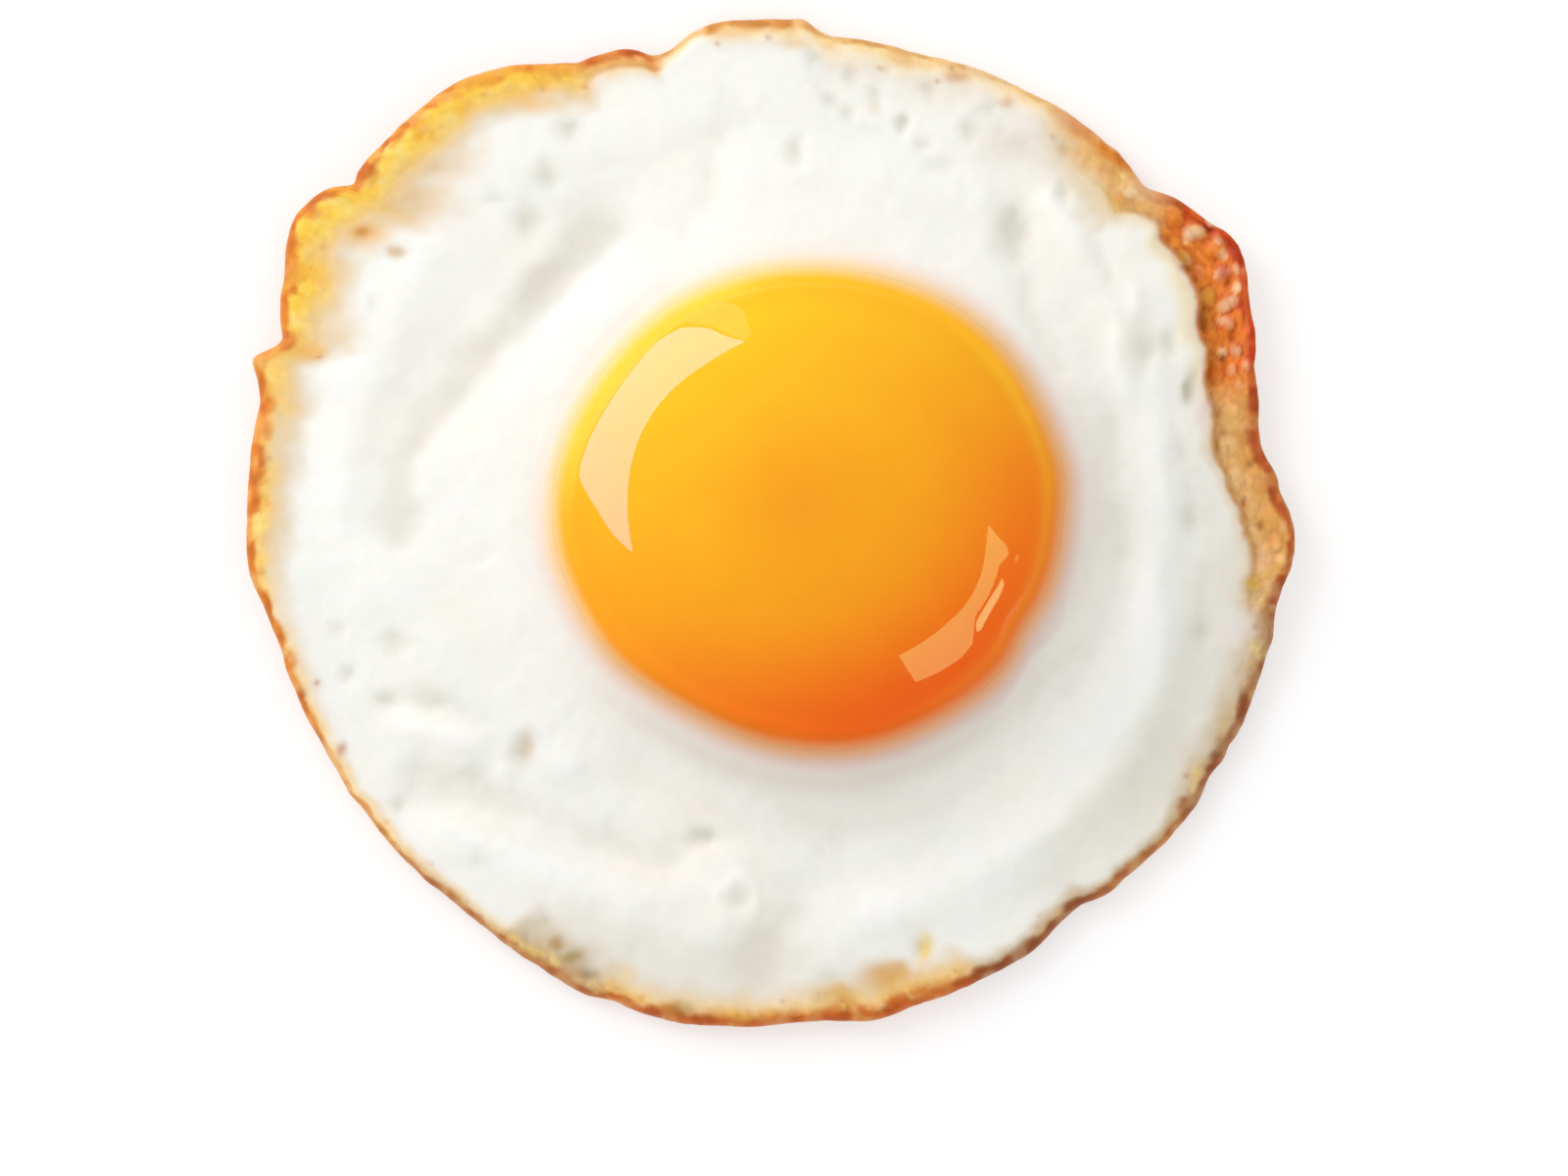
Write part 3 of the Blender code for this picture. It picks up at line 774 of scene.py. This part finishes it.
# the line at the edge
line_w = band["line"] * (1.0 + 0.75 * fbm(X / 1.9, Y / 1.9, 191, 3))
line = 1.0 - smooth(TO_RIM + 0.10 * speck, 0.45 * line_w, 1.15 * line_w)
broken = fbm(X / 1.3, Y / 1.3, 201, 2)
colour = lay(colour, edge_c, line * (0.60 + 0.40 * smooth(broken, -0.4, 0.1)))
colour = lay(colour, edge_c * np.array([0.62, 0.44, 0.30]), 0.48 * line * smooth(broken, 0.12, 0.4))
# a darker line where the white's edge meets the crust
seam = np.exp(-(((rim_d - 0.84 * W) / 0.28) ** 2)) * STEP
colour = lay(colour, lin(206, 140, 66), 0.45 * seam)
cream = np.exp(-(((rim_d - 1.06 * W) / 0.85) ** 2)) * STEP * np.exp(-((wrap(T - 36.0) / 18.0) ** 4))
colour = lay(colour, lin(244, 228, 184), 0.60 * cream)
blur = np.exp(-(((rim_d - 0.98 * W) / 0.55) ** 2)) * STEP
colour = lay(colour, lin(226, 198, 156), 0.45 * blur)
for px, py, a, b, tone, rise in BLISTERS:
    r = np.hypot((X + 0.15 * speck - px) / a, (Y + 0.15 * blotch - py) / b)
    colour = lay(colour, lin(*tone), 0.80 * calm_tan * (1.0 - smooth(r, 0.45, 1.15)))
    colour = lay(colour, edge_c * 0.8, 0.25 * calm_tan * np.exp(-(((r - 1.15) / 0.18) ** 2)))
for px, py, a, b in HOLES:
    r = np.hypot((X - px) / a, (Y - py) / b)
    colour = lay(colour, lin(150, 66, 28), 0.6 * calm_tan * np.exp(-(r**2)))
for px, py, a, b, tone, strength in SPOTS:
    r = np.hypot((X + 0.5 * warp - px) / a, (Y + 0.5 * blotch - py) / b)
    colour = lay(colour, lin(*tone), strength * np.exp(-(r**2.4)))
# scattered brown specks near the rim
rng = np.random.default_rng(7)
for _ in range(60):
    a_deg = rng.uniform(0, 360)
    here = np.argmin(np.abs(wrap(th - a_deg)))
    back = rng.uniform(0.2, 1.0) ** 1.5 * (0.6 + 0.85 * W[here])
    px = rim_x[here] - back * math.cos(math.radians(a_deg))
    py = rim_y[here] - back * math.sin(math.radians(a_deg))
    size = rng.uniform(0.14, 0.32)
    r = np.hypot((X - px) / size, (Y - py) / (size * rng.uniform(0.6, 1.3)))
    colour = lay(colour, lin(184, 112, 50), rng.uniform(0.2, 0.6) * np.exp(-(r**2)))
# painted shadow of the yolk on the white beside it, on the side away from the light and deepest at the bottom of the
# yolk; then the yolk's colour carried into the white at its edge, with its painted bounce light and shade
shade = smooth(-TO_LIGHT, -0.25, 0.6)
below = np.exp(-((wrap(T - 272.0) / 44.0) ** 4))
colour = lay(colour, lin(224, 212, 198), 0.85 * (1.0 - smooth(OUT, 1.0, 4.5)) * shade)
# a deeper painted shadow on the white at the bottom of the yolk
colour = lay(colour, lin(202, 192, 178), 0.72 * (1.0 - smooth(OUT, 1.5, 5.5)) * below)
colour = lay(colour, lin(232, 230, 220), 0.45 * (1.0 - smooth(OUT, 4.0, 8.0)) * shade)
# the yolk's colour at its outline, with its painted light and shade, for the white's edge
edge_yolk_with_painted_light = yolk_colour(np.ones_like(OUT), T)
colour = mix(over_edge(edge_yolk_with_painted_light, OUT, T), colour, smooth(OUT, 0.9, 2.8)[..., None])

BROWN = np.clip(fade * 0.3 + mid * 0.5 + line, 0.0, 1.0) * (0.3 + 0.7 * BUBBLY)

# ---- rings under the yolk, round the rim and underneath ----
seat_rings, seat_z = [], []
for i in range(1, 8):
    a = math.radians(90.0 * i / 8)
    s, down = math.sin(a), math.cos(a)
    rr = s * inner_r
    seat_rings.append((YC[0] + rr * np.cos(rad), YC[1] + rr * np.sin(rad)))
    seat_z.append(np.full(AROUND, YOLK_EQUATOR_Z - YOLK_BOWL * down - 0.30 * down))
# the lip carries on a little way under the yolk's skin
seat_rings.append((YC[0] + (inner_r - 1.0) * np.cos(rad), YC[1] + (inner_r - 1.0) * np.sin(rad)))
seat_z.append(np.full(AROUND, YOLK_EQUATOR_Z + 1.0))
seat_rings.append((YC[0] + (inner_r - 0.9) * np.cos(rad), YC[1] + (inner_r - 0.9) * np.sin(rad)))
seat_z.append(np.full(AROUND, YOLK_EQUATOR_Z + 1.55))

under_shares = np.array([1.0, 0.994, 0.982, 0.96, 0.93, 0.89, 0.84, 0.79, 0.74, 0.5, 0.25, 0.0])[:, None]
UX = inner_x + under_shares * (rim_x - inner_x)
UY = inner_y + under_shares * (rim_y - inner_y)
u_rim = (1.0 - under_shares) * width
u_lift = lift_here * smooth(under_shares, LIFT_FROM, 1.0) ** 1.5
u_round = np.where(
    u_rim < 0.9,
    RIM_Z * (1.0 - np.sqrt(np.clip(1.0 - (1.0 - u_rim / 0.9) ** 2, 0.0, 1.0))),
    0.0,
)
UZ = u_lift + u_round
in_shares = np.array([0.75, 0.5, 0.25])[:, None]
VX = YC[0] + in_shares * inner_r * np.cos(rad)
VY = YC[1] + in_shares * inner_r * np.sin(rad)
VZ = np.zeros_like(VX)

all_x = np.vstack([np.array([s[0] for s in seat_rings]), X, UX, VX])
all_y = np.vstack([np.array([s[1] for s in seat_rings]), Y, UY, VY])
all_z = np.vstack([np.array(seat_z), TOP, UZ, VZ])
rings = np.stack([all_x, all_y, all_z], -1) * MM
# nothing reaches past the CAD box
for axis in (0, 1):
    rings[..., axis] = np.clip(rings[..., axis], CAD_LO[axis] + 1e-5, CAD_HI[axis] - 1e-5)
rings[..., 2] = np.clip(rings[..., 2], 0.0, CAD_HI[2])
first = np.array([YC[0], YC[1], YOLK_EQUATOR_Z - YOLK_BOWL - 0.25]) * MM
last = np.array([YC[0], YC[1], 0.0])
last[:2] *= MM
white_verts, white_faces = ring_mesh(rings, first, last)

n_seat, n_under = len(seat_rings), len(UX) + len(VX)
seat_colour = np.broadcast_to(lin(252, 226, 190), (n_seat, AROUND, 3))
under_colour = np.empty((n_under, AROUND, 3))
ux, uy = np.vstack([UX, VX]), np.vstack([UY, VY])
toast = smooth(fbm(ux / 5.0, uy / 5.0, 211, 3), -0.35, 0.6)
under_colour[:] = mix(lin(246, 238, 220), lin(226, 186, 128), toast[..., None])
near_edge = (1.0 - smooth(np.vstack([u_rim, np.full(VX.shape, 30.0)]), 0.1, 0.9))[..., None]
under_colour = mix(under_colour, np.broadcast_to(band["edge"], under_colour.shape), near_edge)
tint = np.vstack(
    [
        lin(252, 226, 190)[None],
        np.concatenate([seat_colour, colour, under_colour]).reshape(-1, 3),
        lin(226, 178, 110)[None],
    ]
)
brown = np.concatenate(
    [
        [0.0],
        np.concatenate(
            [np.zeros((n_seat, AROUND)), BROWN, np.ones((n_under, AROUND))]
        ).ravel(),
        [1.0],
    ]
)


# ----------------------------------------------------------------------
# materials
# ----------------------------------------------------------------------
def material(name):
    m = bpy.data.materials.new(name)
    m.use_nodes = True
    nodes, links = m.node_tree.nodes, m.node_tree.links
    return m, nodes, links, nodes["Principled BSDF"]


def add(nodes, kind, **values):
    node = nodes.new(kind)
    for key, value in values.items():
        if key in node.inputs:
            node.inputs[key].default_value = value
        else:
            setattr(node, key, value)
    return node


def white_material():
    m, nodes, links, shader = material("cooked_white_look")
    where = add(nodes, "ShaderNodeTexCoord")
    paint = add(nodes, "ShaderNodeAttribute", attribute_name="tint")
    toasted = add(nodes, "ShaderNodeAttribute", attribute_name="brown")
    # fine mottling, stronger where it is browned
    mottle = add(nodes, "ShaderNodeTexNoise", Scale=900.0, Detail=4.0, Roughness=0.6)
    links.new(where.outputs["Object"], mottle.inputs["Vector"])
    spread = add(nodes, "ShaderNodeMapRange")
    spread.inputs["From Min"].default_value = 0.3
    spread.inputs["From Max"].default_value = 0.7
    spread.inputs["To Min"].default_value = 0.66
    spread.inputs["To Max"].default_value = 1.22
    links.new(mottle.outputs["Fac"], spread.inputs["Value"])
    strength = add(nodes, "ShaderNodeMapRange")
    strength.inputs["To Min"].default_value = 0.045
    strength.inputs["To Max"].default_value = 0.40
    links.new(toasted.outputs["Fac"], strength.inputs["Value"])
    mottled = add(nodes, "ShaderNodeMix", data_type="RGBA", blend_type="MULTIPLY")
    links.new(strength.outputs["Result"], mottled.inputs[0])
    links.new(paint.outputs["Color"], mottled.inputs[6])
    links.new(spread.outputs["Result"], mottled.inputs[7])
    links.new(mottled.outputs[2], shader.inputs["Base Color"])
    # wet patches and drier ones
    damp = add(nodes, "ShaderNodeTexNoise", Scale=140.0, Detail=3.0)
    links.new(where.outputs["Object"], damp.inputs["Vector"])
    rough = add(nodes, "ShaderNodeMapRange")
    rough.inputs["From Min"].default_value = 0.35
    rough.inputs["From Max"].default_value = 0.65
    rough.inputs["To Min"].default_value = 0.42
    rough.inputs["To Max"].default_value = 0.50
    links.new(damp.outputs["Fac"], rough.inputs["Value"])
    links.new(rough.outputs["Result"], shader.inputs["Roughness"])
    # set albumen has a very fine grain
    grain = add(nodes, "ShaderNodeTexNoise", Scale=1500.0, Detail=3.0, Roughness=0.55)
    links.new(where.outputs["Object"], grain.inputs["Vector"])
    bump = add(nodes, "ShaderNodeBump", Strength=0.25, Distance=0.00006)
    links.new(grain.outputs["Fac"], bump.inputs["Height"])
    links.new(bump.outputs["Normal"], shader.inputs["Normal"])
    shader.inputs["Subsurface Weight"].default_value = 0.30
    shader.inputs["Subsurface Radius"].default_value = (1.0, 0.8, 0.6)
    shader.inputs["Subsurface Scale"].default_value = 0.0012
    shader.inputs["IOR"].default_value = 1.36
    shader.inputs["Specular IOR Level"].default_value = 0.22
    return m


def yolk_material():
    m, nodes, links, shader = material("cooked_yolk_look")
    where = add(nodes, "ShaderNodeTexCoord")
    paint = add(nodes, "ShaderNodeAttribute", attribute_name="tint")
    mottle = add(nodes, "ShaderNodeTexNoise", Scale=260.0, Detail=3.0, Roughness=0.5)
    links.new(where.outputs["Object"], mottle.inputs["Vector"])
    spread = add(nodes, "ShaderNodeMapRange")
    spread.inputs["From Min"].default_value = 0.3
    spread.inputs["From Max"].default_value = 0.7
    spread.inputs["To Min"].default_value = 0.97
    spread.inputs["To Max"].default_value = 1.02
    links.new(mottle.outputs["Fac"], spread.inputs["Value"])
    mottled = add(nodes, "ShaderNodeMix", data_type="RGBA", blend_type="MULTIPLY")
    mottled.inputs[0].default_value = 0.6
    links.new(paint.outputs["Color"], mottled.inputs[6])
    links.new(spread.outputs["Result"], mottled.inputs[7])
    links.new(mottled.outputs[2], shader.inputs["Base Color"])
    sheen = add(nodes, "ShaderNodeTexNoise", Scale=90.0, Detail=2.0)
    links.new(where.outputs["Object"], sheen.inputs["Vector"])
    rough = add(nodes, "ShaderNodeMapRange")
    rough.inputs["To Min"].default_value = 0.16
    rough.inputs["To Max"].default_value = 0.24
    links.new(sheen.outputs["Fac"], rough.inputs["Value"])
    links.new(rough.outputs["Result"], shader.inputs["Roughness"])
    shader.inputs["IOR"].default_value = 1.42
    shader.inputs["Specular IOR Level"].default_value = 0.0
    shader.inputs["Subsurface Weight"].default_value = 0.30
    shader.inputs["Subsurface Radius"].default_value = (1.0, 0.42, 0.10)
    shader.inputs["Subsurface Scale"].default_value = 0.003
    wet = add(nodes, "ShaderNodeAttribute", attribute_name="wet")
    links.new(wet.outputs["Fac"], shader.inputs["Coat Weight"])
    shader.inputs["Coat Roughness"].default_value = 0.03
    shader.inputs["Coat IOR"].default_value = 1.55
    return m


# ----------------------------------------------------------------------
# the yolk
# ----------------------------------------------------------------------
Y_AROUND = 320
yth = np.arange(Y_AROUND) * 360.0 / Y_AROUND
yrad = np.radians(yth)
y_oval = 1.0 / np.hypot(np.cos(yrad) / YOLK_HALF_X, np.sin(yrad) / YOLK_HALF_Y) - 0.02
y_lobes = lobes(yth, YOLK_LOBES)


dome_a = np.radians(np.concatenate([np.linspace(2.0, 60.0, 40), np.linspace(61.5, 90.0, 26)]))
bowl_a = np.radians(np.linspace(94.0, 176.0, 16))
levels = np.concatenate([dome_a, bowl_a])
S = np.sin(levels)[:, None]
C = np.cos(levels)[:, None]
y_r = y_oval + y_lobes * smooth(S, 0.78, 1.0)
yx = YC[0] + S * y_r * np.cos(yrad)
yy = YC[1] + S * y_r * np.sin(yrad)
yz = np.where(C > 0, YOLK_EQUATOR_Z + YOLK_DOME * C - 0.01, YOLK_EQUATOR_Z + YOLK_BOWL * C)
yz = np.broadcast_to(yz, yx.shape)
yolk_rings = np.stack([yx, yy, yz], -1) * MM
yolk_verts, yolk_faces = ring_mesh(
    yolk_rings,
    np.array([YC[0], YC[1], YOLK_EQUATOR_Z + YOLK_DOME - 0.01]) * MM,
    np.array([YC[0], YC[1], YOLK_EQUATOR_Z - YOLK_BOWL]) * MM,
)
yt = np.broadcast_to(S, yx.shape)
yaz = np.broadcast_to(yth, yx.shape)
# the yolk's colour, with its painted light and shade
ycol = yolk_colour(yt, yaz)
# the germ spot's faint darker patch near the middle
spot = np.exp(-(np.hypot((yx - YC[0] + 1.0) / 5.0, (yy - YC[1] - 1.0) / 5.0) ** 2))
ycol = ycol + (lin(246, 156, 38) - ycol) * (0.35 * spot)[..., None]
dry = 0.885 - 0.062 * np.exp(-((wrap(yaz - 238.0) / 36.0) ** 4))
wet = np.where(C > 0, 1.0 - smooth(yt, dry, dry + 0.045), 0.0)
# the yolk's outline takes the same edge blend, with its painted shade on the side away from the light
ycol = np.where(C[..., None] > 0, over_edge(ycol, (yt - 1.0) * y_r, yaz), ycol)
yolk_tint = np.vstack([ycol[0, :1].reshape(1, 3), ycol.reshape(-1, 3), ycol[-1, :1].reshape(1, 3)])

white_look, yolk_look = white_material(), yolk_material()
white = mesh_object(
    "egg_white_surface", white_verts.tolist(), white_faces, {"tint": tint, "brown": brown}, white_look
)
yolk_wet = np.concatenate([[1.0], wet.ravel(), [0.0]])
yolk = mesh_object(
    "yolk_surface", yolk_verts.tolist(), yolk_faces, {"tint": yolk_tint, "wet": yolk_wet}, yolk_look
)
for piece, node, slot in ((white, "egg_white", "cooked_white"), (yolk, "yolk", "cooked_yolk")):
    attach(piece, "root")
    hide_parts(node)


# ----------------------------------------------------------------------
# floor, light and camera
# ----------------------------------------------------------------------
def floor_material():
    m, nodes, links, shader = material("pale_floor")
    shader.inputs["Base Color"].default_value = (0.62, 0.62, 0.62, 1.0)
    shader.inputs["Emission Color"].default_value = (1.0, 1.0, 1.0, 1.0)
    shader.inputs["Emission Strength"].default_value = 0.40
    shader.inputs["Roughness"].default_value = 0.9
    shader.inputs["Specular IOR Level"].default_value = 0.1
    return m


bpy.ops.mesh.primitive_circle_add(vertices=96, radius=6.0, fill_type="NGON", location=(0, 0, -0.00002))
floor = bpy.context.object
floor.name = "floor"
floor.data.materials.append(floor_material())

world = bpy.data.worlds.new("studio")
world.use_nodes = True
scene.world = world
sky = world.node_tree.nodes["Background"]
sky.inputs["Color"].default_value = (1.0, 1.0, 1.0, 1.0)
sky.inputs["Strength"].default_value = 0.85
world.cycles_visibility.glossy = False

LIGHT_FAR = 1.2  # metres from the yolk to the softboxes


def seen_from(az, t):
    """Where a lamp stands so that a camera straight above sees it in the yolk at share t of its radius."""
    tilt = math.atan(YOLK_DOME / 22.1 * t / math.sqrt(max(1e-6, 1.0 - t * t)))
    zenith = min(2.0 * tilt, math.radians(91.0))
    a = math.radians(az)
    return Vector(
        (
            YC[0] * MM + LIGHT_FAR * math.sin(zenith) * math.cos(a),
            YC[1] * MM + LIGHT_FAR * math.sin(zenith) * math.sin(a),
            0.014 + LIGHT_FAR * math.cos(zenith),
        )
    )


def softbox(name, bounds_by_az, radiance, tone=(1.0, 1.0, 1.0)):
    """A curved lamp. bounds_by_az lists (azimuth, inner t, outer t) along it."""
    az = [b[0] for b in bounds_by_az]
    steps = 48
    verts, faces = [], []
    for i in range(steps + 1):
        a = az[0] + (az[-1] - az[0]) * i / steps
        lo = float(np.interp(a, az, [b[1] for b in bounds_by_az]))
        hi = float(np.interp(a, az, [b[2] for b in bounds_by_az]))
        for k in range(9):
            verts.append(seen_from(a, lo + (hi - lo) * k / 8))
    for i in range(steps):
        for k in range(8):
            p = i * 9 + k
            faces.append((p, p + 9, p + 10, p + 1))
    mesh = bpy.data.meshes.new(name)
    mesh.from_pydata(verts, [], faces)
    m = bpy.data.materials.new(name)
    m.use_nodes = True
    m.node_tree.nodes.clear()
    out = m.node_tree.nodes.new("ShaderNodeOutputMaterial")
    glow = m.node_tree.nodes.new("ShaderNodeEmission")
    glow.inputs["Color"].default_value = (*tone, 1.0)
    glow.inputs["Strength"].default_value = radiance
    m.node_tree.links.new(glow.outputs[0], out.inputs["Surface"])
    mesh.materials.append(m)
    lamp = bpy.data.objects.new(name, mesh)
    scene.collection.objects.link(lamp)
    lamp.visible_camera = False
    lamp.visible_diffuse = False
    lamp.visible_shadow = False
    return lamp


softbox(
    "key_softbox",
    (
        (108.5, 0.739, 0.744),
        (113.0, 0.733, 0.785),
        (115.5, 0.730, 0.835),
        (119.0, 0.726, 0.872),
        (123.0, 0.722, 0.900),
        (130.0, 0.723, 0.916),
        (142.0, 0.722, 0.912),
        (154.0, 0.716, 0.909),
        (166.0, 0.705, 0.906),
        (170.5, 0.701, 0.898),
        (179.5, 0.696, 0.818),
        (190.0, 0.696, 0.744),
        (195.0, 0.700, 0.705),
    ),
    5.8,
    (0.95, 0.54, 1.0),
)
softbox(
    "key_spill",
    (
        (106.0, 0.760, 0.860),
        (108.0, 0.748, 0.895),
        (112.0, 0.790, 0.925),
        (115.0, 0.845, 0.940),
        (119.0, 0.885, 0.950),
        (123.0, 0.940, 0.945),
    ),
    1.3,
    (1.0, 0.85, 0.75),
)
softbox(
    "edge_strip",
    (
        (299.6, 0.712, 0.826),
        (305.5, 0.716, 0.834),
        (312.8, 0.722, 0.838),
        (319.2, 0.727, 0.835),
        (322.5, 0.731, 0.812),
        (325.0, 0.734, 0.793),
        (330.3, 0.735, 0.795),
        (336.0, 0.731, 0.790),
        (342.2, 0.722, 0.782),
        (346.2, 0.714, 0.805),
        (348.6, 0.711, 0.790),
        (351.5, 0.709, 0.744),
        (354.5, 0.707, 0.709),
    ),
    3.6,
    (0.45, 1.0, 0.38),
)
softbox(
    "edge_sliver",
    (
        (322.6, 0.824, 0.828),
        (324.2, 0.808, 0.838),
        (328.4, 0.808, 0.845),
        (331.8, 0.807, 0.844),
        (336.8, 0.810, 0.830),
        (338.4, 0.811, 0.813),
    ),
    6.0,
    (0.5, 1.0, 0.45),
)
softbox("edge_dot", ((344.4, 0.833, 0.843), (346.6, 0.833, 0.843)), 2.0, (0.6, 1.0, 0.5))

# the soft light that shapes the white: a large lamp at the upper left
KEY_ZENITH, KEY_AZIMUTH = math.radians(57.0), math.radians(140.0)
key = bpy.data.lights.new("key", "AREA")
key.shape = "DISK"
key.size = 0.9
key.energy = 6.4
key.color = (1.0, 0.985, 0.96)
key_lamp = bpy.data.objects.new("key", key)
scene.collection.objects.link(key_lamp)
toward = Vector(
    (
        math.sin(KEY_ZENITH) * math.cos(KEY_AZIMUTH),
        math.sin(KEY_ZENITH) * math.sin(KEY_AZIMUTH),
        math.cos(KEY_ZENITH),
    )
)
key_lamp.location = toward * 1.3
key_lamp.rotation_euler = toward.to_track_quat("Z", "Y").to_euler()
key_lamp.visible_glossy = False
key_lamp.visible_camera = False

VIEW_MM = 139.2  # width of the view at the white's surface
CAMERA_UP = 0.9
camera = bpy.data.objects.new("camera", bpy.data.cameras.new("camera"))
scene.collection.objects.link(camera)
camera.location = (1.22 * MM, -5.79 * MM, CAMERA_UP + 0.0015)
camera.rotation_euler = (0.0, 0.0, 0.0)
camera.data.sensor_width = 36.0
camera.data.lens = 36.0 * CAMERA_UP / (VIEW_MM * MM)
camera.data.clip_start, camera.data.clip_end = 0.05, 20.0
scene.camera = camera
